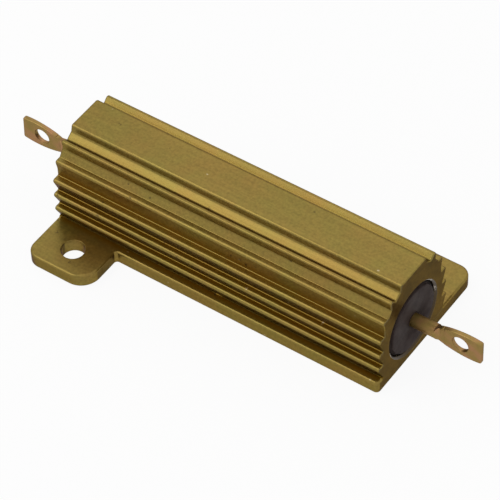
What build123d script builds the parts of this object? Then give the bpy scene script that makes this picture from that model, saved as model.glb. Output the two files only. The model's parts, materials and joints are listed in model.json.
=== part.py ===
"""Chassis mount wirewound resistor in a finned aluminium housing.

X runs along the housing, Y runs across it and Z points up from the mounting face.
The origin is in the middle of the mounting face.  All sizes are in millimetres.

The housing is an extrusion with a bore along it.  A moulded element fills the bore:
a ceramic core wound with resistance ribbon, a pressed cap on each end of the core, and
a terminal wire welded to each cap, flattened and pierced outside the housing.
"""

import os

from build123d import *

# --- housing --------------------------------------------------------------------------

body_length = 50.0
housing_height = 15.3
base_half_width = 8.0
base_thickness = 2.0
base_edge_radius = 0.3
base_edge_chamfer = 0.2
base_corner_radius = 0.6
bore_axis_height = 6.5
bore_radius = 5.2
bore_chamfer = 0.3

# The finned section stands on the base plate and its walls run a little way into it.
section_margin = 0.15
section_sink = 1.0

# Flank fins.  Each has a level top and an undercut wall below it, and each reaches a
# little less far than the one below it, because the section narrows towards the top.
fin_pitch = 2.45
fin_reach = 7.95
fin_lean = 0.07
fin_depth = 1.27
fin_root_radius = 0.12
fin_start = 2.4
fin_tip_radius = 0.35

# Stepped shoulder between the uppermost fin and the land on top, from the land down:
# a wall, a sloping apron, a ridge with a sheer outer side, a facet and a level ledge.
# Across the section the steps are measured inwards from the reach of the fins, so the
# land on top is as wide as they leave it.
land_edge_radius = 0.35
land_wall_height = 0.97
land_wall_lean = 0.23
apron_width = 0.95
apron_fall = 0.69
ridge_slope_width = 0.67
ridge_slope_rise = 0.58
ridge_width = 0.48
ridge_edge_radius = 0.24
ridge_side = 1.32
ridge_undercut = 0.08
facet_width = 0.72
facet_fall = 0.9
ledge_setback = 1.23
ledge_width = 1.0
ledge_root_radius = 0.12
ledge_tip_radius = 0.35
waist_depth = 0.3
waist_drop = 1.5

# Mounting feet on opposite corners of the base, each with one screw hole.
foot_length = 9.85
foot_reach = 14.4
foot_outer_radius = 1.9
foot_inner_radius = 2.8
foot_root_radius = 0.45
mount_pitch_x = 39.9
mount_pitch_y = 21.4
mount_hole_radius = 1.6

# --- moulded element ------------------------------------------------------------------

mould_clearance = 0.02
part_clearance = 0.02
end_groove_width = 0.55
end_groove_depth = 0.5
element_shift = -0.27

core_length = 36.0
core_radius = 3.1
core_chamfer = 0.25

cap_depth = 4.0
cap_wall = 0.4
cap_edge_chamfer = 0.25

ribbon_width = 2.2
ribbon_thickness = 0.2
ribbon_pitch = 4.2

# --- terminals ------------------------------------------------------------------------

wire_radius = 0.95
wire_reach = 3.6
swage_length = 1.2
lug_reach = 10.25
lug_thickness = 0.68
lug_neck_height = 2.75
lug_eye_height = 3.62
lug_tip_height = 3.42
lug_edge_chamfer = 0.15
eye_radius = 1.15
eye_inset = 3.05
left_bend_reach = 0.6
left_bend_angle = 2.6

# --- places worked out from the sizes ---------------------------------------------------

half_length = body_length / 2

fin_root = fin_reach - fin_depth
section_half_width = fin_root + fin_root_radius + section_margin
section_foot_height = base_thickness - section_sink
ledge_tip = fin_reach - ledge_setback
waist = ledge_tip - waist_depth
facet_foot = ledge_tip - ledge_width
facet_top = facet_foot - facet_width
ridge_outer = facet_top + ridge_undercut
ridge_inner = ridge_outer - ridge_width
apron_foot = ridge_inner - ridge_slope_width
wall_foot = apron_foot - apron_width
land_half_width = wall_foot - land_wall_lean
apron_top_z = housing_height - land_wall_height
apron_foot_z = apron_top_z - apron_fall
ridge_z = apron_foot_z + ridge_slope_rise
facet_top_z = ridge_z - ridge_side
ledge_z = facet_top_z - facet_fall

first_fin_z = base_thickness + fin_start
fin_count = int((ledge_z - first_fin_z) / fin_pitch)
fin_heights = [first_fin_z + fin_pitch * step for step in range(fin_count)]

# Everything from here on is measured from the middle of the element.
element_middle = (element_shift, 0, bore_axis_height)
element_axis = Axis(element_middle, (1, 0, 0))
element_side = Plane(element_middle, x_dir=(1, 0, 0), z_dir=(0, -1, 0))
element_end = Plane(element_middle, x_dir=(0, 1, 0), z_dir=(1, 0, 0))

cap_inner_radius = core_radius + part_clearance
cap_outer_radius = cap_inner_radius + cap_wall
cap_end = core_length / 2 + part_clearance + cap_wall
cap_rim = cap_end - cap_depth
winding_inner_radius = core_radius + part_clearance
winding_outer_radius = winding_inner_radius + ribbon_thickness
winding_end = cap_rim - part_clearance

swage_start = half_length + wire_reach
swage_end = swage_start + swage_length
terminal_tip = half_length + lug_reach
eye_centre = terminal_tip - eye_inset


def half_section():
    """Corners of half the finned section's outline, from inside the base up to the land.

    Each corner is its distance from the middle plane, its height and its radius.
    """
    corners = [
        (0, section_foot_height, 0),
        (section_half_width, section_foot_height, 0),
        (section_half_width, base_thickness, 0),
        (fin_root, base_thickness, fin_root_radius),
    ]
    for step, height in enumerate(fin_heights):
        reach = fin_reach - fin_lean * step**2
        root = waist if step == fin_count - 1 else fin_root
        corners += [
            (reach, height, fin_tip_radius),
            (root, height, fin_root_radius),
        ]
    corners += [
        (waist, ledge_z - waist_drop, 0),
        (ledge_tip, ledge_z, ledge_tip_radius),
        (facet_foot, ledge_z, ledge_root_radius),
        (facet_top, facet_top_z, 0),
        (ridge_outer, ridge_z, ridge_edge_radius),
        (ridge_inner, ridge_z, ridge_edge_radius),
        (apron_foot, apron_foot_z, 0),
        (wall_foot, apron_top_z, 0),
        (land_half_width, housing_height, land_edge_radius),
        (0, housing_height, 0),
    ]
    return corners


def base_outline():
    """Corners of the base seen from above: two feet on opposite corners of a long plate.

    Each corner is its x, its y and its radius.
    """
    foot_end = foot_length - half_length
    near_side = [
        (-half_length, -foot_reach, foot_outer_radius),
        (foot_end, -foot_reach, foot_inner_radius),
        (foot_end, -base_half_width, foot_root_radius),
        (half_length, -base_half_width, base_corner_radius),
    ]
    return near_side + [(-x, -y, radius) for x, y, radius in near_side]


# --- housing: an extruded finned section on a base milled away to leave two feet ----------

with BuildPart() as housing:
    with BuildSketch():
        with BuildLine():
            corners = base_outline()
            FilletPolyline(
                *[(x, y) for x, y, _ in corners],
                radius=[radius for _, _, radius in corners],
                close=True,
            )
        make_face()
    extrude(amount=base_thickness)
    fillet(housing.faces().sort_by(Axis.Z)[-1].edges(), base_edge_radius)
    chamfer(housing.faces().sort_by(Axis.Z)[0].edges(), base_edge_chamfer)

    with BuildSketch(Plane.YZ.offset(-half_length)):
        with BuildLine():
            corners = half_section()
            FilletPolyline(
                *[(reach, height) for reach, height, _ in corners],
                radius=[radius for _, _, radius in corners[1:-1]],
            )
            mirror(about=Plane.YZ)
        make_face()
    extrude(amount=body_length)

    with Locations(
        (-mount_pitch_x / 2, -mount_pitch_y / 2, base_thickness),
        (mount_pitch_x / 2, mount_pitch_y / 2, base_thickness),
    ):
        Hole(mount_hole_radius, depth=base_thickness)

    with BuildSketch(Plane.YZ.offset(-half_length)):
        with Locations((0, bore_axis_height)):
            Circle(bore_radius)
    extrude(amount=body_length, mode=Mode.SUBTRACT)
    mouths = housing.faces().filter_by(Axis.X).edges().filter_by(GeomType.CIRCLE)
    chamfer(mouths.filter_by(lambda edge: edge.is_closed), bore_chamfer)

housing.part.label = "housing"

# --- moulding: fills the bore, with a shallow ring groove at each end --------------------

with BuildPart() as moulding:
    with BuildSketch(Plane.XZ):
        with Locations((0, bore_axis_height)):
            Rectangle(
                body_length - 2 * end_groove_depth,
                bore_radius - mould_clearance,
                align=(Align.CENTER, Align.MIN),
            )
            Rectangle(
                body_length,
                bore_radius - end_groove_width,
                align=(Align.CENTER, Align.MIN),
            )
    revolve(axis=element_axis)

    cavities = (
        (winding_end, winding_outer_radius),
        (cap_end, cap_outer_radius),
        (swage_start, wire_radius),
    )
    with BuildSketch(element_side):
        for end, radius in cavities:
            Rectangle(
                2 * (end + part_clearance),
                radius + part_clearance,
                align=(Align.CENTER, Align.MIN),
            )
    revolve(axis=element_axis, mode=Mode.SUBTRACT)

moulding.part.label = "moulding"

# --- ceramic core -------------------------------------------------------------------------

with BuildPart() as ceramic_core:
    with BuildSketch(element_end.offset(-core_length / 2)):
        Circle(core_radius)
    extrude(amount=core_length)
    chamfer(ceramic_core.edges().filter_by(GeomType.CIRCLE), core_chamfer)

ceramic_core.part.label = "ceramic_core"

# --- resistance winding: flat ribbon in a helix between the caps ---------------------------

with BuildPart() as resistance_winding:
    winding_length = 2 * winding_end - ribbon_width
    with BuildLine() as ribbon_path:
        helix = Helix(
            pitch=ribbon_pitch,
            height=winding_length,
            radius=(winding_inner_radius + winding_outer_radius) / 2,
            center=(element_shift - winding_length / 2, 0, bore_axis_height),
            direction=(1, 0, 0),
        )
    with BuildSketch(Plane(origin=helix @ 0, x_dir=(1, 0, 0), z_dir=helix % 0)):
        Rectangle(ribbon_width, ribbon_thickness)
    sweep(path=ribbon_path.line, is_frenet=True)

resistance_winding.part.label = "resistance_winding"

# --- pressed caps --------------------------------------------------------------------------

with BuildPart() as end_cap_right:
    with BuildSketch(element_end.offset(cap_rim)):
        Circle(cap_outer_radius)
    extrude(amount=cap_depth)
    chamfer(end_cap_right.faces().sort_by(Axis.X)[-1].edges(), cap_edge_chamfer)
    with BuildSketch(element_end.offset(cap_rim)):
        Circle(cap_inner_radius)
    extrude(amount=cap_depth - cap_wall, mode=Mode.SUBTRACT)

end_cap_right.part.label = "end_cap_right"

with BuildPart() as end_cap_left:
    mirror(end_cap_right.part, about=element_end)

end_cap_left.part.label = "end_cap_left"

# --- terminals: round wire, swaged flat into an eyed lug ------------------------------------

with BuildPart() as terminal_right:
    with BuildSketch(element_side.offset(-lug_thickness / 2)):
        with BuildLine():
            flank = ThreePointArc(
                (swage_end, lug_neck_height / 2),
                (eye_centre, lug_eye_height / 2),
                (terminal_tip, lug_tip_height / 2),
            )
            other_flank = mirror(flank, about=Plane.XZ)
            Line(flank @ 0, other_flank @ 0)
            Line(flank @ 1, other_flank @ 1)
        make_face()
        with Locations((eye_centre, 0)):
            Circle(eye_radius, mode=Mode.SUBTRACT)
    extrude(amount=lug_thickness)
    long_edges = terminal_right.faces().filter_by(Axis.Y).edges().filter_by(GeomType.CIRCLE)
    chamfer(long_edges.sort_by(SortBy.RADIUS)[-4:], lug_edge_chamfer)

    # One circle is both the start of the swage and the end of the round wire.
    neck = terminal_right.faces().sort_by(Axis.X)[0]
    with BuildSketch(element_end.offset(swage_start)) as wire_end:
        Circle(wire_radius)
    loft([wire_end.sketch, neck])
    extrude(amount=cap_end - swage_start)

terminal_right.part.label = "terminal_right"

# The left terminal matches the right one, tipped up a little just outside the moulding.
with BuildPart() as terminal_left:
    bend = element_end.offset(-half_length - left_bend_reach)
    mirror(terminal_right.part, about=element_end)
    lug = split(terminal_left.part, bisect_by=bend, keep=Keep.BOTTOM, mode=Mode.PRIVATE)
    split(bisect_by=bend, keep=Keep.TOP)
    add(lug.rotate(Axis(bend.origin, (0, 1, 0)), left_bend_angle))

terminal_left.part.label = "terminal_left"

# --- files ----------------------------------------------------------------------------------

os.makedirs("parts", exist_ok=True)
for piece in (
    housing,
    moulding,
    ceramic_core,
    resistance_winding,
    end_cap_left,
    end_cap_right,
    terminal_left,
    terminal_right,
):
    export_step(piece.part, f"parts/{piece.part.label}.step")
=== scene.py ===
# %% [markdown]
# # A chassis mount resistor, dressed over its imported model
#
# The object is a wirewound resistor in an extruded aluminium heat sink. The heat sink is
# screwed flat to a metal chassis, which carries the heat away. A dark grey moulding compound
# fills its bore. At each end a plated wire comes out of it and is swaged flat into a lug
# with an eye, where a lead is soldered on.
#
# The imported model is loaded first. Its nodes are already the right size and in the right
# place, in metres, so every new piece takes its place and its main sizes from a node's box
# or from the record. A few sizes that a box can't give, such as the taper of a lug, are
# repeated from the drawing.

import json

import bmesh
import bpy
import numpy as np
from mathutils import Matrix, Vector


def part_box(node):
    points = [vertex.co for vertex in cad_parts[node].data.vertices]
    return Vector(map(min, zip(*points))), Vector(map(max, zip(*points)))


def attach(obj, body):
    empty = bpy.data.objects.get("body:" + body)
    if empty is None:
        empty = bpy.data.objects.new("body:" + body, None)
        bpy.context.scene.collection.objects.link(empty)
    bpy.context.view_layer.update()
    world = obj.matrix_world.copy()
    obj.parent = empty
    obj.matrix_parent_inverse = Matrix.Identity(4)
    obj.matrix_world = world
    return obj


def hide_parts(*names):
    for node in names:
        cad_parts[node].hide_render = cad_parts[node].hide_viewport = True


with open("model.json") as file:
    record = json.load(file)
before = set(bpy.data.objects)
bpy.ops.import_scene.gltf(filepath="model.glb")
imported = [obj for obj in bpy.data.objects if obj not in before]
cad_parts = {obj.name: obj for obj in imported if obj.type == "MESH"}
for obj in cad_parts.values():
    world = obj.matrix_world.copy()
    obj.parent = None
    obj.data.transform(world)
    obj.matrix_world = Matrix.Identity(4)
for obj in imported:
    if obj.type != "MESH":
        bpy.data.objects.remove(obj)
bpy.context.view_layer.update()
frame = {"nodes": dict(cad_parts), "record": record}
print("loaded", sorted(frame["nodes"]))

# %% [markdown]
# ## A few places, read from the model
#
# The drawing of the part is in millimetres and Blender works in metres, so one factor turns
# the first into the second. The heat sink's box gives its length, and the moulding's box
# gives the bore's axis and the moulding's radius.

# %% Places that several pieces share
mm = 0.001
half_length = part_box("housing")[1].x
moulding_low, moulding_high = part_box("moulding")
axis_height = (moulding_low.z + moulding_high.z) / 2
moulding_radius = (moulding_high.z - moulding_low.z) / 2
print("bore axis", round(axis_height / mm, 3), "mm above the base")
print("moulding radius", round(moulding_radius / mm, 3), "mm")

# %% [markdown]
# ## Small tools
#
# Three helpers do the work that every material repeats. A colour is written as it is picked
# on a screen, in sRGB, but light is added up in linear values, so the first helper turns one
# into the other. The second adds a shader node with its settings and its links. The third
# starts a material. All patterns here are made from the object's own coordinates, in metres,
# so their scale is a real size and they run through corners as they do in solid metal.


# %% Colour from a hex value
def linear(hex_value):
    """Each sRGB channel c becomes ((c + 0.055) / 1.055) to the power 2.4, or c / 12.92 near black."""
    channels = np.array([int(hex_value[i : i + 2], 16) for i in (1, 3, 5)]) / 255
    values = np.where(channels > 0.04045, ((channels + 0.055) / 1.055) ** 2.4, channels / 12.92)
    return (*values.tolist(), 1.0)


print("middle grey", [round(value, 3) for value in linear("#808080")])


# %% Add one shader node
def add(tree, kind, sockets=None, **settings):
    """A node with its settings as attributes; each socket gets a value, or a link to an output."""
    made = tree.nodes.new(kind)
    for name, value in settings.items():
        setattr(made, name, value)
    for name, value in (sockets or {}).items():
        if isinstance(value, bpy.types.NodeSocket):
            tree.links.new(value, made.inputs[name])
        else:
            made.inputs[name].default_value = value
    return made


# %% Start a material
def start(name):
    """A new material: its tree, the object's own coordinates, and a Principled shader on the output."""
    material = bpy.data.materials.new(name)
    material.use_nodes = True
    tree = material.node_tree
    tree.nodes.clear()
    place = add(tree, "ShaderNodeTexCoord").outputs["Object"]
    shader = add(tree, "ShaderNodeBsdfPrincipled")
    add(tree, "ShaderNodeOutputMaterial", {"Surface": shader.outputs["BSDF"]})
    return material, tree, place, shader


# %% [markdown]
# ## The camera
#
# The part is seen from its front right corner and from well above, through a long lens that
# keeps its long edges nearly parallel. A constraint could aim the camera at a point, but it
# would take out the slight roll. So the camera is placed by where it stands, the way it
# looks and that roll.

# %% Camera
camera_place = (0.146768, -0.196671, 0.276628)
camera_view = (-0.39944, 0.53675, -0.74320)
camera_roll = np.radians(-2.573)
camera = bpy.data.objects.new("camera", bpy.data.cameras.new("camera"))
bpy.context.scene.collection.objects.link(camera)
camera.location = camera_place
looking = Vector(camera_view).to_track_quat("-Z", "Y").to_matrix()
camera.rotation_euler = (looking @ Matrix.Rotation(camera_roll, 3, "Z")).to_euler()
camera.data.lens = 207.51
camera.data.sensor_width = 36
camera.data.clip_start = 0.01
camera.data.clip_end = 5
bpy.context.scene.camera = camera
bpy.context.scene.view_settings.view_transform = "Standard"
print("camera at", [round(v, 3) for v in camera.location])

# %% [markdown]
# ## Floor
#
# The part lies on a sheet of white card, as in a product picture. Plain matt white would
# look pale grey under soft light. So a ray that meets the card from the camera, from a glossy
# surface or through glass gets mostly a plain white glow, and the rest is the lit card,
# which keeps the part's shadow. To all other rays it is only matt card, so the glow isn't
# one more lamp.


# %% Rays that see the surroundings as they are
def seen_plainly(tree):
    """1 for a camera, glossy or transmission ray and 0 for the others: the maximum of the three."""
    rays = add(tree, "ShaderNodeLightPath").outputs
    sockets = {0: rays["Is Camera Ray"], 1: rays["Is Glossy Ray"]}
    seen = add(tree, "ShaderNodeMath", sockets, operation="MAXIMUM")
    sockets = {0: seen.outputs[0], 1: rays["Is Transmission Ray"]}
    return add(tree, "ShaderNodeMath", sockets, operation="MAXIMUM").outputs[0]


# %% Floor card
card_reach = 1.5
card_corners = [(x * card_reach, y * card_reach, 0) for x, y in ((-1, -1), (1, -1), (1, 1), (-1, 1))]
card = bpy.data.objects.new("floor_card", bpy.data.meshes.new("floor_card"))
card.data.from_pydata(card_corners, [], [(0, 1, 2, 3)])
bpy.context.scene.collection.objects.link(card)
print("floor card", 2 * card_reach, "m wide")

# %% White card, matt, with its glow
glow_share = 0.92
white_card, tree, _, shader = start("white card")
shader.inputs["Base Color"].default_value = linear("#f4f4f4")
shader.inputs["Roughness"].default_value = 0.9
shader.inputs["Specular IOR Level"].default_value = 0.0
share = add(tree, "ShaderNodeMath", {0: seen_plainly(tree), 1: glow_share}, operation="MULTIPLY")
glow = add(tree, "ShaderNodeEmission", {"Color": linear("#ffffff"), "Strength": 1.0})
sockets = {0: share.outputs[0], 1: shader.outputs["BSDF"], 2: glow.outputs[0]}
card_look = add(tree, "ShaderNodeMixShader", sockets)
output = next(node for node in tree.nodes if node.type == "OUTPUT_MATERIAL")
tree.links.new(card_look.outputs[0], output.inputs["Surface"])
card.data.materials.append(white_card)
print(white_card.name, "has", len(tree.nodes), "nodes")

# %% [markdown]
# ## Light tent
#
# Metal shows whatever stands round it, so it is often lit in a white tent. A tent could be
# modelled as a box of cloth, but the world does the same with nothing to build. It is plain
# white to the camera and in reflections, and to everything else it is a weaker fill light.

# %% World
fill_level = 0.65
world = bpy.data.worlds.new("light tent")
bpy.context.scene.world = world
world.use_nodes = True
tree = world.node_tree
tree.nodes.clear()
fill = add(tree, "ShaderNodeBackground", {"Color": linear("#ffffff"), "Strength": fill_level})
plain = add(tree, "ShaderNodeBackground", {"Color": linear("#ffffff"), "Strength": 1.0})
sockets = {0: seen_plainly(tree), 1: fill.outputs[0], 2: plain.outputs[0]}
either = add(tree, "ShaderNodeMixShader", sockets)
add(tree, "ShaderNodeOutputWorld", {"Surface": either.outputs[0]})
print("fill light at", fill_level, "of the white tent")

# %% [markdown]
# ## Soft panels
#
# A tent alone would make all faces alike, so four soft panels stand for its brighter walls,
# and each slope of the metal mirrors its own part of them. The high front panel is the
# largest. The key panel in the same part of the tent is smaller and the brightest, and the
# overhead panel is nearer to straight above. Surfaces that tilt towards the viewer mirror
# these three, which is why they are the brightest. The rear panel, behind and to the left,
# is what the level top mirrors.

# %% Soft panels
part_middle = Vector((0, 0, 8 * mm))


def panel(name, towards, distance, width, level):
    """A square lamp facing the part's middle, of pi times its area times its brightness in watts."""
    lamp = bpy.data.lights.new(name, "AREA")
    lamp.shape = "SQUARE"
    lamp.size = width
    lamp.energy = np.pi * width**2 * level
    stand = bpy.data.objects.new(name, lamp)
    bpy.context.scene.collection.objects.link(stand)
    direction = Vector(towards).normalized()
    stand.location = part_middle + direction * distance
    stand.rotation_euler = direction.to_track_quat("Z", "Y").to_euler()
    print(name, "at", [round(v, 3) for v in stand.location])


# name, way from the part, distance and width in metres, brightness where the tent has 1
panels = (
    ("high_front_panel", (-0.52, -0.42, 0.76), 0.50, 0.38, 0.75),
    ("key_panel", (-0.40, -0.55, 0.75), 0.49, 0.16, 1.3),
    ("overhead_panel", (-0.40, -0.15, 0.92), 0.50, 0.22, 1.0),
    ("rear_panel", (-0.22, 0.54, 0.74), 0.50, 0.30, 0.4),
)
for settings in panels:
    panel(*settings)

# %% [markdown]
# ## Anodised aluminium: the dyed skin
#
# The heat sink is anodised aluminium: the extrusion is etched matt, dyed gold and sealed.
# To the eye this is a metal with a satin sheen. Its gold drifts a little towards olive from
# place to place, the die leaves faint streaks along the extrusion, and the etched skin has
# a fine grain.
#
# It could be one plain metallic colour, but the real finish is read by these small
# changes, so the shader mixes them from noise patterns whose scale is in real millimetres.
# The real etch grain is a few hundredths of a millimetre, too fine to show, so the grain
# and the streaks are drawn at about a third of a millimetre.

# %% Sizes of the dyed skin's patterns
drift_size = 6 * mm
streak_length, streak_width = 15 * mm, 0.35 * mm
grain_size, grain_height = 0.35 * mm, 0.012 * mm
print("grain", round(grain_size / mm, 3), "mm wide and", round(grain_height / mm, 3), "mm high")


# %% Dyed colour with its drift, streaks and grain
def dyed_skin(tree, place, gold, olive):
    """Gold mixed towards olive by a slow noise, times 0.78 to 1.22 as half the streaks plus the grain say."""
    sockets = {"Vector": place, "Scale": 1 / drift_size, "Detail": 4.0, "Roughness": 0.6}
    drift = add(tree, "ShaderNodeTexNoise", sockets)
    sockets = {"Value": drift.outputs["Fac"], "From Min": 0.35, "From Max": 0.65}
    share = add(tree, "ShaderNodeMapRange", sockets)
    sockets = {"Factor": share.outputs[0], "A": linear(gold), "B": linear(olive)}
    tone = add(tree, "ShaderNodeMix", sockets, data_type="RGBA")
    stretched = (1 / streak_length, 1 / streak_width, 1 / streak_width)
    drawn = add(tree, "ShaderNodeMapping", {"Vector": place, "Scale": stretched})
    sockets = {"Vector": drawn.outputs[0], "Scale": 1.0, "Detail": 2.0}
    streaks = add(tree, "ShaderNodeTexNoise", sockets)
    grain = add(tree, "ShaderNodeTexNoise", {"Vector": place, "Scale": 1 / grain_size, "Detail": 3.0})
    sockets = {0: streaks.outputs["Fac"], 1: 0.5, 2: grain.outputs["Fac"]}
    mixed = add(tree, "ShaderNodeMath", sockets, operation="MULTIPLY_ADD")
    sockets = {"Value": mixed.outputs[0], "From Min": 0.45, "From Max": 1.05, "To Min": 0.78, "To Max": 1.22}
    light = add(tree, "ShaderNodeMapRange", sockets)
    sockets = {0: tone.outputs["Result"], "Scale": light.outputs[0]}
    tone = add(tree, "ShaderNodeVectorMath", sockets, operation="SCALE")
    return tone.outputs[0], grain.outputs["Fac"]


# %% [markdown]
# ## Anodised aluminium: the roots of the fins
#
# In the roots of the fins the colour is painted shade, deeper and warmer. It stands for the
# shade there and for the light thrown from gold to gold before it comes out. Darker faces
# could be picked out one by one, but the change is gradual. An ambient occlusion node measures
# how open each point is, counting only the part itself and only what is near, and that share
# brings in the painted shade colour.

# %% Painted shade in the roots
root_shade_reach = 1.2 * mm


def with_painted_root_shade(tree, tone, root_shade_colour):
    """The painted shade colour where up to 0.35 of the view within the reach is open, the tone from 0.8 up.
    """
    roots = add(tree, "ShaderNodeAmbientOcclusion", {"Distance": root_shade_reach}, samples=6, only_local=True)
    sockets = {"Value": roots.outputs["AO"], "From Min": 0.35, "From Max": 0.8}
    open_share = add(tree, "ShaderNodeMapRange", sockets)
    sockets = {"Factor": open_share.outputs[0], "A": linear(root_shade_colour), "B": tone}
    return add(tree, "ShaderNodeMix", sockets, data_type="RGBA").outputs["Result"]


print("roots deepen within", round(root_shade_reach / mm, 3), "mm")

# %% [markdown]
# ## Anodised aluminium: pits and nicks
#
# The skin has a few dark pits, and handling leaves pale nicks where the gold is knocked off.
# Both are spots strewn at random. A Voronoi pattern gives each point its distance from the
# nearest of many scattered centres, in shares of their spacing, and a colour is mixed in
# close to a centre. The points are pushed about by a noise first, because every spot would
# be a perfect disc without that.

# %% Spots strewn over the skin
pit_spacing, nick_spacing = 2.6 * mm, 3.1 * mm
push_size, push_reach = 0.5 * mm, 0.8 * mm


def pushed_about(tree, place):
    """Each point moved by the push's reach times the three channels of a noise."""
    noise = add(tree, "ShaderNodeTexNoise", {"Vector": place, "Scale": 1 / push_size, "Detail": 1.0})
    sockets = {0: noise.outputs["Color"], "Scale": push_reach}
    pushed = add(tree, "ShaderNodeVectorMath", sockets, operation="SCALE")
    sockets = {0: place, 1: pushed.outputs[0]}
    return add(tree, "ShaderNodeVectorMath", sockets, operation="ADD").outputs[0]


def spotted(tree, ragged, tone, spacing, reach, strength, colour):
    """The colour's share falls from the strength, 0.03 of a spacing off a centre, to 0 at the reach."""
    cells = add(tree, "ShaderNodeTexVoronoi", {"Vector": ragged, "Scale": 1 / spacing})
    sockets = {"Value": cells.outputs["Distance"], "From Min": 0.03, "From Max": reach}
    spot = add(tree, "ShaderNodeMapRange", {**sockets, "To Min": strength, "To Max": 0.0})
    sockets = {"Factor": spot.outputs[0], "A": tone, "B": linear(colour)}
    return spot.outputs[0], add(tree, "ShaderNodeMix", sockets, data_type="RGBA").outputs["Result"]


print("pits every", round(pit_spacing / mm, 3), "mm, nicks every", round(nick_spacing / mm, 3), "mm")

# %% [markdown]
# ## Anodised aluminium: the whole finish
#
# The finish is nearly all metal, but the clear oxide over it scatters a little light by
# itself, so the metallic share is 0.9, and a thin coat gives the oxide's own sheen. A bare
# metal turns white at a glancing angle and a dyed one doesn't, so the specular tint is dull.
# The gloss follows the grain, which gives the satin look. It stays above a roughness of
# 0.28, because a range that crosses that value leaves dark specks in the finished picture.
#
# The sawn ends take the same dye, but look duller and browner where the saw has been, so
# they have tones of their own and no sheen.


# %% Anodised aluminium
def anodised(name, gold, olive, root_shade_colour, glancing, sheen):
    """The dyed skin, with painted shade in the roots, pits and nicks, uneven gloss and a fine relief."""
    material, tree, place, shader = start(name)
    tone, grain = dyed_skin(tree, place, gold, olive)
    # Painted shade: the colour is made deeper in the roots, where shade falls.
    tone = with_painted_root_shade(tree, tone, root_shade_colour)
    ragged = pushed_about(tree, place)
    pit, tone = spotted(tree, ragged, tone, pit_spacing, 0.09, 0.8, "#3a2c1c")
    _, tone = spotted(tree, ragged, tone, nick_spacing, 0.06, 0.6, "#c9b898")
    tree.links.new(tone, shader.inputs["Base Color"])
    shader.inputs["Metallic"].default_value = 0.9
    shader.inputs["Coat Weight"].default_value = sheen
    shader.inputs["Coat Roughness"].default_value = 0.35
    shader.inputs["Specular Tint"].default_value = linear(glancing)
    sockets = {"Value": grain, "From Min": 0.3, "From Max": 0.7, "To Min": 0.29, "To Max": 0.37}
    rough = add(tree, "ShaderNodeMapRange", sockets)
    tree.links.new(rough.outputs[0], shader.inputs["Roughness"])
    relief = add(tree, "ShaderNodeMath", {0: grain, 1: pit}, operation="SUBTRACT")
    sockets = {"Height": relief.outputs[0], "Strength": 1.0, "Distance": grain_height}
    bump = add(tree, "ShaderNodeBump", sockets)
    tree.links.new(bump.outputs[0], shader.inputs["Normal"])
    print(name, "has", len(tree.nodes), "nodes")
    return material


# name, gold, olive, painted shade colour in the roots, glancing colour, sheen of the oxide
gold_anodised = anodised("gold anodised aluminium", "#846c35", "#7f6f35", "#86650c", "#847458", 0.15)
sawn_anodised = anodised("sawn and anodised aluminium", "#715f3c", "#594f36", "#40301a", "#a89c80", 0.0)

# %% [markdown]
# ## Machined mouth of the bore
# The bore's mouth has a narrow chamfer. To the eye it is a thin, broken, silvery line: in
# some places the bare aluminium shines, and in others it is dark with dirt and flash. Two
# strips of mesh could show the two, but their border is ragged, so one material mixes them
# by a noise in patches of about a millimetre. The share of bright metal also grows towards
# the upper front of the ring: that part is a painted highlight, where the chamfer catches
# the light. Dirt isn't metal and the two are mixed everywhere, so the metallic share is 0.6.

# %% Bare machined aluminium
patch_size = 1.1 * mm
# Painted highlight: the share of bright metal grows along this way, towards the upper front of the ring.
painted_highlight_way = (0, -0.5, 0.87)
highlight_starts_at, highlight_full_at = 3 * mm, 12 * mm
bare_aluminium, tree, place, shader = start("bare machined aluminium")
patches = add(tree, "ShaderNodeTexNoise", {"Vector": place, "Scale": 1 / patch_size, "Detail": 4.0})
reach = add(tree, "ShaderNodeVectorMath", {0: place, 1: painted_highlight_way}, operation="DOT_PRODUCT")
sockets = {"Value": reach.outputs["Value"], "From Min": highlight_starts_at, "From Max": highlight_full_at}
painted_highlight = add(tree, "ShaderNodeMapRange", {**sockets, "To Min": -0.2, "To Max": 0.2})
# Real wear in patches, plus the painted highlight towards the upper front.
wear_and_painted_highlight = add(tree, "ShaderNodeMath", {0: patches.outputs["Fac"], 1: painted_highlight.outputs[0]}, operation="ADD")
sockets = {"Value": wear_and_painted_highlight.outputs[0], "From Min": 0.45, "From Max": 0.62}
share = add(tree, "ShaderNodeMapRange", sockets)
sockets = {"Factor": share.outputs[0], "A": linear("#443622"), "B": linear("#e4dccf")}
tone = add(tree, "ShaderNodeMix", sockets, data_type="RGBA")
tree.links.new(tone.outputs["Result"], shader.inputs["Base Color"])
shader.inputs["Metallic"].default_value = 0.6
shader.inputs["Roughness"].default_value = 0.4
print(bare_aluminium.name, "has", len(tree.nodes), "nodes")

# %% [markdown]
# ## Moulding compound
#
# The element is moulded in a dark grey silicone compound. To the eye it is matt and faintly
# mottled, and it takes no shine. A plain dark grey would look like a hole in the metal, so
# two near tones are mixed in clouds. The grains of the mineral filler are too fine to show,
# so they are drawn 0.3 mm wide, and only as relief.

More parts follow.
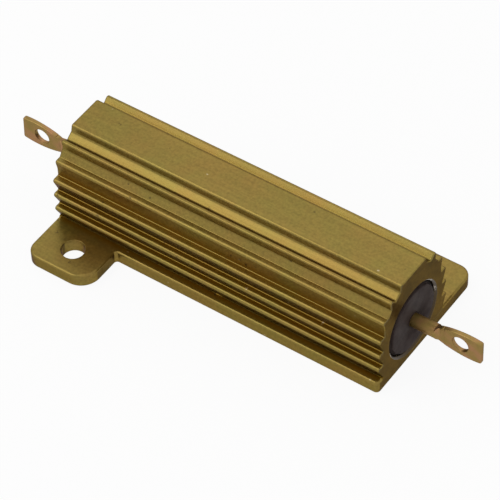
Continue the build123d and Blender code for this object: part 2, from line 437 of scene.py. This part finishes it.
# %% Moulding compound
cloud_size = 1.5 * mm
filler_size, filler_height = 0.3 * mm, 0.03 * mm
compound, tree, place, shader = start("grey moulding compound")
cloud = add(tree, "ShaderNodeTexNoise", {"Vector": place, "Scale": 1 / cloud_size, "Detail": 4.0})
sockets = {"Value": cloud.outputs["Fac"], "From Min": 0.35, "From Max": 0.65}
share = add(tree, "ShaderNodeMapRange", sockets)
sockets = {"Factor": share.outputs[0], "A": linear("#2a1f1d"), "B": linear("#3c322f")}
tone = add(tree, "ShaderNodeMix", sockets, data_type="RGBA")
tree.links.new(tone.outputs["Result"], shader.inputs["Base Color"])
shader.inputs["Roughness"].default_value = 0.75
shader.inputs["Specular IOR Level"].default_value = 0.15
filler = add(tree, "ShaderNodeTexNoise", {"Vector": place, "Scale": 1 / filler_size, "Detail": 2.0})
sockets = {"Height": filler.outputs["Fac"], "Strength": 1.0, "Distance": filler_height}
bump = add(tree, "ShaderNodeBump", sockets)
tree.links.new(bump.outputs[0], shader.inputs["Normal"])
print(compound.name, "has", len(tree.nodes), "nodes")

# %% [markdown]
# ## Plated terminals
#
# The terminals are copper-cored wire with a thin yellow plating. The plating is slightly
# iridescent, so to the eye its colour drifts between gold, rose and olive, and the swaging
# dies leave it fairly smooth. One colour would look like plain brass, so three tones lie on
# a ramp that a slow noise runs along. The plating is a little dull, which a metallic share
# of 0.85 gives, and the gloss follows a grain that is drawn coarse enough to show.

# %% Terminal plating
plating_drift, plating_grain = 1.6 * mm, 0.4 * mm
plating, tree, place, shader = start("yellow plated terminal wire")
drift = add(tree, "ShaderNodeTexNoise", {"Vector": place, "Scale": 1 / plating_drift, "Detail": 2.0})
tones = add(tree, "ShaderNodeValToRGB", {"Fac": drift.outputs["Fac"]})
olive_end, rose_end = tones.color_ramp.elements
olive_end.position, olive_end.color = 0.36, linear("#8c7642")
rose_end.position, rose_end.color = 0.64, linear("#9f7852")
tones.color_ramp.elements.new(0.5).color = linear("#957848")
tree.links.new(tones.outputs["Color"], shader.inputs["Base Color"])
shader.inputs["Metallic"].default_value = 0.85
shader.inputs["Specular Tint"].default_value = linear("#c0b8b0")
grain = add(tree, "ShaderNodeTexNoise", {"Vector": place, "Scale": 1 / plating_grain, "Detail": 3.0})
sockets = {"Value": grain.outputs["Fac"], "From Min": 0.3, "From Max": 0.7, "To Min": 0.3, "To Max": 0.38}
rough = add(tree, "ShaderNodeMapRange", sockets)
tree.links.new(rough.outputs[0], shader.inputs["Roughness"])
print(plating.name, "has", len(tree.nodes), "nodes")

# %% [markdown]
# ## The heat sink
#
# The extrusion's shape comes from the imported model, so a copy of its mesh is used. Sawing,
# tumbling and etching leave no edge truly sharp, and most of all the sawn ends are rounded
# over. Rounding could be drawn into the model, but it would multiply the solid's faces, so a
# bevel does it here. The copy is first merged into one skin, because its triangles are
# loose, and its flat faces are made whole again.

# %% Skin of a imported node, merged
doubled = 0.002 * mm
flat_angle = np.radians(1)


def skin_of(node, name):
    """A copy of the node's mesh with its doubled points merged and its flat faces made whole."""
    mesh = frame["nodes"][node].data.copy()
    mesh.name = name
    mesh.materials.clear()
    worked = bmesh.new()
    worked.from_mesh(mesh)
    bmesh.ops.remove_doubles(worked, verts=worked.verts, dist=doubled)
    bmesh.ops.dissolve_limit(worked, angle_limit=flat_angle, verts=worked.verts, edges=worked.edges)
    worked.to_mesh(mesh)
    worked.free()
    piece = bpy.data.objects.new(name, mesh)
    bpy.context.scene.collection.objects.link(piece)
    mesh.shade_smooth()
    print(name, len(mesh.vertices), "points", len(mesh.polygons), "faces")
    return piece


heat_sink = skin_of("housing", "heat_sink")
for material in (gold_anodised, sawn_anodised, bare_aluminium):
    heat_sink.data.materials.append(material)

# %% [markdown]
# The heat sink has three finishes. A face that looks along the extrusion was cut by the saw
# or the mill, a face near the bore that looks aslant is the machined mouth, and all others
# keep the dyed skin.
# The normals and middles of the faces are read as whole arrays, and one array of material
# numbers goes back.

# %% Sawn ends and the machined mouth of the bore
mouth_reach = 5.6 * mm
straight_on = 0.99
aslant_from, aslant_to = 0.5, 0.9
skin = heat_sink.data
normals = np.empty(3 * len(skin.polygons))
centres = np.empty(3 * len(skin.polygons))
skin.polygons.foreach_get("normal", normals)
skin.polygons.foreach_get("center", centres)
normals, centres = normals.reshape(-1, 3), centres.reshape(-1, 3)
lengthwise = np.abs(normals[:, 0])
sawn = lengthwise > straight_on
slanted = (lengthwise > aslant_from) & (lengthwise < aslant_to)
from_axis = np.hypot(centres[:, 1], centres[:, 2] - axis_height)
mouth = slanted & (from_axis < mouth_reach)
skin.polygons.foreach_set("material_index", np.where(mouth, 2, np.where(sawn, 1, 0)))
print("faces of the sawn ends", int(sawn.sum()), "and of the mouths", int(mouth.sum()))

# %% [markdown]
# Each edge carries its own weight for the bevel. The outer rims of the sawn ends have the
# whole width, above the feet. All other sharp edges, the bore's rim among them, have three
# tenths of it, as only the etch has softened them. The low step between a foot and the
# first fin is smaller than the bevel, so it stays as it is.

# %% Where each edge lies and how sharp it is
sharp_angle = np.radians(28)
places = np.empty(3 * len(skin.vertices))
skin.vertices.foreach_get("co", places)
ends = np.empty(2 * len(skin.edges), dtype=int)
skin.edges.foreach_get("vertices", ends)
first, second = places.reshape(-1, 3)[ends.reshape(-1, 2).T]
middles = (first + second) / 2
worked = bmesh.new()
worked.from_mesh(skin)
sharp = np.array([edge.calc_face_angle(0.0) for edge in worked.edges]) > sharp_angle
worked.free()
print(len(sharp), "edges, of which", int(sharp.sum()), "are sharp")

# %% Weight of each edge
slight = 0.3
feet_cleared = 2.3 * mm
step_inner, step_outer = 6.0 * mm, 7.0 * mm
step_height, step_half_height, step_shelf = 1.95 * mm, 0.35 * mm, 1.9 * mm
same_plane = 0.01 * mm
at_end = np.minimum(np.abs(first[:, 0]), np.abs(second[:, 0])) > half_length - same_plane
above_feet = np.minimum(first[:, 2], second[:, 2]) > feet_cleared
near_bore = np.hypot(first[:, 1], first[:, 2] - axis_height) < mouth_reach
across, height = np.abs(middles[:, 1]), middles[:, 2]
low_step = (across > step_inner) & (across < step_outer) & (np.abs(height - step_height) < step_half_height)
weights = np.where(sharp, slight, 0.0)
weights = np.where(sharp & at_end & above_feet & ~near_bore, 1.0, weights)
weights = np.where(low_step & (at_end | (height > step_shelf)), 0.0, weights)
print("edges at the sawn ends", int((weights == 1).sum()), "other edges", int((weights == slight).sum()))

# %% [markdown]
# The bevel rounds the edges in three steps. After it, weighted normals let the large faces
# look flat right up to their rounded edges, as an extrusion's do.

# %% Softened edges, widest at the sawn ends
large_faces_first = 90
skin.attributes.new("bevel_weight_edge", "FLOAT", "EDGE").data.foreach_set("value", weights)
edges = heat_sink.modifiers.new("softened edges", "BEVEL")
edges.width = 0.2 * mm
edges.segments = 3
edges.limit_method = "WEIGHT"
edges.use_clamp_overlap = False
even = heat_sink.modifiers.new("even facets", "WEIGHTED_NORMAL")
even.weight = large_faces_first
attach(heat_sink, "root")
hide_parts("housing")
print("rims rounded by", round(edges.width / mm, 3), "mm")

# %% [markdown]
# ## From a grid of points to a mesh
#
# The moulding and the terminals are new surfaces. Each is a function of two parameters,
# worked out for a whole grid at once, and each cell of the grid becomes one four-sided face.
# A row or column that comes back to its start repeats it, and a pole repeats one point along
# a whole row, so the seams and poles are closed when points in the same place are merged.

# %% Mesh from grids
same_place = 0.0005 * mm


def surface(name, grids, material):
    """Each cell of a grid becomes a face of its four corners; the grids are put into one mesh and merged."""
    points, faces, start_number = [], [], 0
    for grid in grids:
        rows, columns = grid.shape[:2]
        numbers = np.arange(rows * columns).reshape(rows, columns) + start_number
        corners = (numbers[:-1, :-1], numbers[:-1, 1:], numbers[1:, 1:], numbers[1:, :-1])
        faces.append(np.stack(corners, axis=-1).reshape(-1, 4))
        points.append(grid.reshape(-1, 3))
        start_number += rows * columns
    mesh = bpy.data.meshes.new(name)
    mesh.from_pydata(np.concatenate(points), [], np.concatenate(faces))
    worked = bmesh.new()
    worked.from_mesh(mesh)
    bmesh.ops.remove_doubles(worked, verts=worked.verts, dist=same_place)
    bmesh.ops.recalc_face_normals(worked, faces=worked.faces)
    worked.to_mesh(mesh)
    worked.free()
    mesh.materials.append(material)
    mesh.shade_smooth()
    piece = bpy.data.objects.new(name, mesh)
    bpy.context.scene.collection.objects.link(piece)
    piece.modifiers.new("even facets", "WEIGHTED_NORMAL").weight = large_faces_first
    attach(piece, "root")
    print(name, len(mesh.vertices), "points", len(mesh.polygons), "faces")
    return piece


# %% [markdown]
# ## The moulding
#
# The moulding fills the bore round the element and ends flush with the heat sink. The
# mould's parting ring leaves a groove round each end, whose inner lip is torn and wavy
# where the flash was broken off. A turned solid would have a perfect lip, so the outline
# is revolved with a small wander of its radius, only at the lip, made of a few sines of
# the angle. Inside it has the cavity that the element fills.

# %% What the moulding fits round
clearance = 0.02 * mm
cap_low, cap_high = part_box("end_cap_right")
winding_low, winding_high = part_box("resistance_winding")
wire_low, wire_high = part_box("terminal_right")
element_middle = (winding_low.x + winding_high.x) / 2
wire_radius = wire_high.y
cap_radius = (cap_high.z - cap_low.z) / 2 + clearance
winding_radius = (winding_high.z - winding_low.z) / 2 + clearance
print("room for caps of radius", round(cap_radius / mm, 2), "mm")
print("and a winding of radius", round(winding_radius / mm, 2), "mm")

# %% Outline of the moulding
groove_depth, groove_width = 0.5 * mm, 0.38 * mm
lip_radius = moulding_radius - groove_width
lip_edge = 0.14 * mm
round_points = 5
bend = np.radians(np.linspace(0, 90, round_points))
lip_x = half_length - lip_edge * (1 - np.sin(bend))
lip = np.stack((lip_x, lip_radius - lip_edge * (1 - np.cos(bend)), np.ones(round_points)), axis=-1)
groove_floor = half_length - groove_depth
# Each point is its place along the axis, its radius, and whether it wanders with the lip.
outer = np.array([(0, moulding_radius, 0), (groove_floor, moulding_radius, 0), (groove_floor, lip_radius, 1)])
face = np.array([(half_length, lip_radius - 3 * lip_edge, 0), (half_length, wire_radius + clearance, 0)])
cavity = np.array(
    [
        (cap_high.x + clearance, wire_radius + clearance, 0),
        (cap_high.x + clearance, cap_radius, 0),
        (cap_low.x, cap_radius, 0),
        (cap_low.x, winding_radius, 0),
    ]
)
outside = np.concatenate((outer, lip, face))
mirrored = outside[::-1] * (-1, 1, 1)
mirrored_cavity = cavity[::-1] * (-1, 1, 1) + (2 * element_middle, 0, 0)
outline = np.concatenate((outside, cavity, mirrored_cavity, mirrored))
print("moulding outline of", len(outline), "points, lip radius", round(lip_radius / mm, 2), "mm")

# %% Moulding surface
lip_inset = 0.05
# waves round the lip, height of a wave in millimetres, where the wave starts
lip_waves = ((3, 0.045, 1.0), (7, 0.03, 2.0), (17, 0.025, 0.0), (29, 0.015, 0.5))


def moulding_grid(outline, columns=120):
    """Each (x, r) turns about the axis: y = r cos a, z = r sin a, and at the lip r wanders by w(a)."""
    angle = np.linspace(0, 2 * np.pi, columns + 1)
    wander = sum(height * np.sin(count * angle + begin) for count, height, begin in lip_waves)
    x = np.repeat(outline[:, :1], columns + 1, axis=1)
    radius = outline[:, 1:2] - outline[:, 2:3] * (lip_inset - wander) * mm
    return np.stack((x, radius * np.cos(angle), axis_height + radius * np.sin(angle)), axis=-1)


moulding = surface("moulding_body", [moulding_grid(outline)], compound)
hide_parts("moulding")

# %% [markdown]
# ## The terminals
#
# Each terminal is one length of round wire. Outside the moulding two dies swage its end
# flat, which also spreads it, and an eye is punched through the flat. The wire turns into
# the flat over little more than a millimetre, with a steep step where the dies' edges bit.
#
# The stem is a row of rings along the wire, and each ring is a superellipse: with exponent
# 2 it is the round wire, and with a higher one the flat bar with rounded corners. The flat
# part is a ring round its eye: its columns run from the eye's wall out to the flat's
# outline, and its rows go over the front, round the edge, back over the rear and through
# the eye. Both edges are rounded, which gives them the bright line that a sheared and
# plated edge shows.

# %% Sizes of a terminal
eye = next(mount for mount in frame["record"]["mounts"] if mount["name"] == "eye_right")
eye_radius = eye["dims"]["r_mm"] * mm
eye_x = eye["pos_m"][0]
tip = wire_high.x
thickness = eye["dims"]["length_mm"] * mm
eye_height = wire_high.z - wire_low.z
neck_height = 2.75 * mm
tip_height = 3.42 * mm
round_wire = 3.6 * mm
swage_length = 1.2 * mm
swage_start = half_length + element_middle + round_wire
swage_end = swage_start + swage_length
print("eye", round(eye_x / mm, 2), "mm from the middle, tip at", round(tip / mm, 2), "mm")


# %% Wire and swage
def eased(share):
    """0 below 0, 1 above 1, and 3 s squared less 2 s cubed between."""
    share = np.clip(share, 0, 1)
    return share**2 * (3 - 2 * share)


# The wire gets thin and square-edged sooner than it gets tall, as the dies' edges bite first.
thinning, squaring, spreading = 1.8, 1.5, 1.0
square_exponent = 7
swage_overlap = 0.25 * mm
straight_rings, swage_rings, ring_points = 9, 24, 65


def stem_grid():
    """A superellipse at each x: y = a c |c|^(2/n - 1), z = b s |s|^(2/n - 1), c and s cosine and sine."""
    straight = np.linspace(wire_low.x, swage_start, straight_rings + 1)[:-1]
    along = np.concatenate((straight, np.linspace(swage_start, swage_end + swage_overlap, swage_rings)))
    angle = np.linspace(0, 2 * np.pi, ring_points)
    along, angle = np.meshgrid(along, angle, indexing="ij")
    share = (along - swage_start) / (swage_end - swage_start)
    half_thickness = wire_radius + (thickness / 2 - wire_radius) * eased(thinning * share)
    half_height = wire_radius + (neck_height / 2 - wire_radius) * eased(spreading * share)
    power = 2 / (2 + (square_exponent - 2) * eased(squaring * share))
    y = half_thickness * np.sign(np.cos(angle)) * np.abs(np.cos(angle)) ** power
    z = half_height * np.sign(np.sin(angle)) * np.abs(np.sin(angle)) ** power
    rings = np.stack((along, y, z), axis=-1)
    poles = np.zeros_like(rings[[0, -1]])
    poles[..., 0] = rings[[0, -1], :, 0]
    return np.concatenate((poles[:1], rings, poles[1:]))


# %% Outline of the flat
tip_corner = 0.22 * mm
flank_columns, corner_columns, tip_columns, neck_columns = 48, 6, 6, 9


def flat_outline():
    """Above, a parabola through neck, eye and tip that ends in a quarter circle; below, its mirror."""
    heights = np.polyfit((swage_end, eye_x, tip), (neck_height / 2, eye_height / 2, tip_height / 2), 2)
    flank = np.linspace(swage_end, tip - tip_corner, flank_columns)
    quarter = np.radians(np.linspace(90, 0, corner_columns))
    shoulder = np.polyval(heights, tip - tip_corner) - tip_corner
    corner_x = tip - tip_corner + tip_corner * np.cos(quarter)
    top_x = np.concatenate((flank, corner_x, np.full(tip_columns, tip)))
    top_z = np.concatenate((np.polyval(heights, flank), shoulder + tip_corner * np.sin(quarter)))
    top_z = np.concatenate((top_z, np.linspace(shoulder, 0, tip_columns + 1)[1:]))
    neck = np.linspace(-neck_height / 2, neck_height / 2, neck_columns + 1)[1:]
    x = np.concatenate((top_x, top_x[-2::-1], np.full(neck_columns, swage_end)))
    return x, np.concatenate((top_z, -top_z[-2::-1], neck))


# %% Flat with its eye
flat_edge = 0.16 * mm
eye_edge = 0.12 * mm


def flat_section():
    """Rows (f, d, y) from the eye's rounded wall over the face to the rounded edge, on both sides."""
    bend, half = np.radians(np.linspace(0, 90, round_points)), thickness / 2
    inner, outer = eye_edge * (1 - np.cos(bend)), -flat_edge * (1 - np.sin(bend))
    wall = np.stack((0 * bend, inner, half - eye_edge + eye_edge * np.sin(bend)), axis=-1)
    middle = np.array([(0.25, 0, half), (0.5, 0, half), (0.75, 0, half)])
    edge = np.stack((1 + 0 * bend, outer, half - flat_edge * (1 - np.cos(bend))), axis=-1)
    front = np.concatenate((wall, middle, edge))
    rear = front * (1, 1, -1)
    return np.concatenate((rear, front[::-1], rear[:1]))


def flat_grid():
    """A point is H + e (f L + d), with H on the eye's rim, e the way to the outline and L its length."""
    x, z = flat_outline()
    section = flat_section()
    turn = np.arctan2(z, x - eye_x)
    rim = np.stack((eye_x + eye_radius * np.cos(turn), eye_radius * np.sin(turn)), axis=-1)
    reach = np.stack((x, z), axis=-1) - rim
    length = np.linalg.norm(reach, axis=-1, keepdims=True)
    inward = rim + reach / length * (section[:, None, 0:1] * length + section[:, None, 1:2])
    depth = np.repeat(section[:, None, 2], len(x), axis=1)
    return np.stack((inward[..., 0], depth, inward[..., 1]), axis=-1)


# %% Right terminal
terminal = [grid + (0, 0, axis_height) for grid in (stem_grid(), flat_grid())]
right_terminal = surface("right_terminal", terminal, plating)
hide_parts("terminal_right")

# %% [markdown]
# The left terminal is the same part, mirrored about the element's middle and bent up a
# little just outside the moulding, as it came from handling. The object could be turned,
# but a finished piece keeps its place in its mesh, so the points are turned instead.

# %% Left terminal, mirrored and bent
bend_reach = 0.6 * mm
bend_x = element_middle - half_length - bend_reach
tilt = np.radians(2.6)


def bent(grid):
    """Mirrored in x; beyond the bend each point turns about the bend's line by the tilt."""
    x, y, z = 2 * element_middle - grid[..., 0], grid[..., 1], grid[..., 2] - axis_height
    beyond = x < bend_x
    out = x - bend_x
    turned_x = bend_x + out * np.cos(tilt) + z * np.sin(tilt)
    turned_z = z * np.cos(tilt) - out * np.sin(tilt)
    x, z = np.where(beyond, turned_x, x), np.where(beyond, turned_z, z)
    return np.stack((x, y, axis_height + z), axis=-1)


left_terminal = surface("left_terminal", [bent(grid) for grid in terminal], plating)
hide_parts("terminal_left")

# %% [markdown]
# ## Inside the moulding
#
# The core, its winding and its caps are closed in, and only a cut would show them. Their
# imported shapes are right, so each keeps its node and gets its real finish. The core is
# fired steatite, a matt ceramic whose cream drifts a little from place to place.

# %% Fired steatite
speckle_size = 0.6 * mm
steatite, tree, place, shader = start("fired steatite")
speckle = add(tree, "ShaderNodeTexNoise", {"Vector": place, "Scale": 1 / speckle_size, "Detail": 3.0})
sockets = {"Factor": speckle.outputs["Fac"], "A": linear("#d8d2c4"), "B": linear("#efeadf")}
tone = add(tree, "ShaderNodeMix", sockets, data_type="RGBA")
tree.links.new(tone.outputs["Result"], shader.inputs["Base Color"])
shader.inputs["Roughness"].default_value = 0.7
print(steatite.name, "has", len(tree.nodes), "nodes")

# %% [markdown]
# The ribbon is drawn and the caps are pressed, and both are bare metal with fine lines from
# their tools. The real lines are too fine to show, so they are drawn a few tenths of a
# millimetre apart: a noise that is squeezed along X and stretched across it.

# %% Drawn and pressed metals
line_length = 3 * mm


def drawn_metal(name, light, dark, spacing, roughness):
    """Metal with fine lines across X, as drawing or pressing leaves them, in two near tones."""
    material, tree, place, shader = start(name)
    scale = (1 / spacing, 1 / line_length, 1 / line_length)
    stretched = add(tree, "ShaderNodeMapping", {"Vector": place, "Scale": scale})
    sockets = {"Vector": stretched.outputs[0], "Scale": 1.0, "Detail": 2.0}
    lines = add(tree, "ShaderNodeTexNoise", sockets)
    sockets = {"Factor": lines.outputs["Fac"], "A": linear(dark), "B": linear(light)}
    tone = add(tree, "ShaderNodeMix", sockets, data_type="RGBA")
    tree.links.new(tone.outputs["Result"], shader.inputs["Base Color"])
    shader.inputs["Metallic"].default_value = 1.0
    shader.inputs["Roughness"].default_value = roughness
    print(name, "has lines", round(spacing / mm, 3), "mm apart")
    return material


ribbon = drawn_metal("drawn nickel chromium ribbon", "#a8a199", "#8b857e", 0.2 * mm, 0.35)
cap_steel = drawn_metal("tinned pressed steel", "#c4c1ba", "#a8a59e", 0.3 * mm, 0.3)

# %% Dress the inner nodes
inner = {
    "ceramic_core": steatite,
    "resistance_winding": ribbon,
    "end_cap_left": cap_steel,
    "end_cap_right": cap_steel,
}
for node, material in inner.items():
    frame["nodes"][node].data.materials.clear()
    frame["nodes"][node].data.materials.append(material)
print("inner nodes dressed:", len(inner))
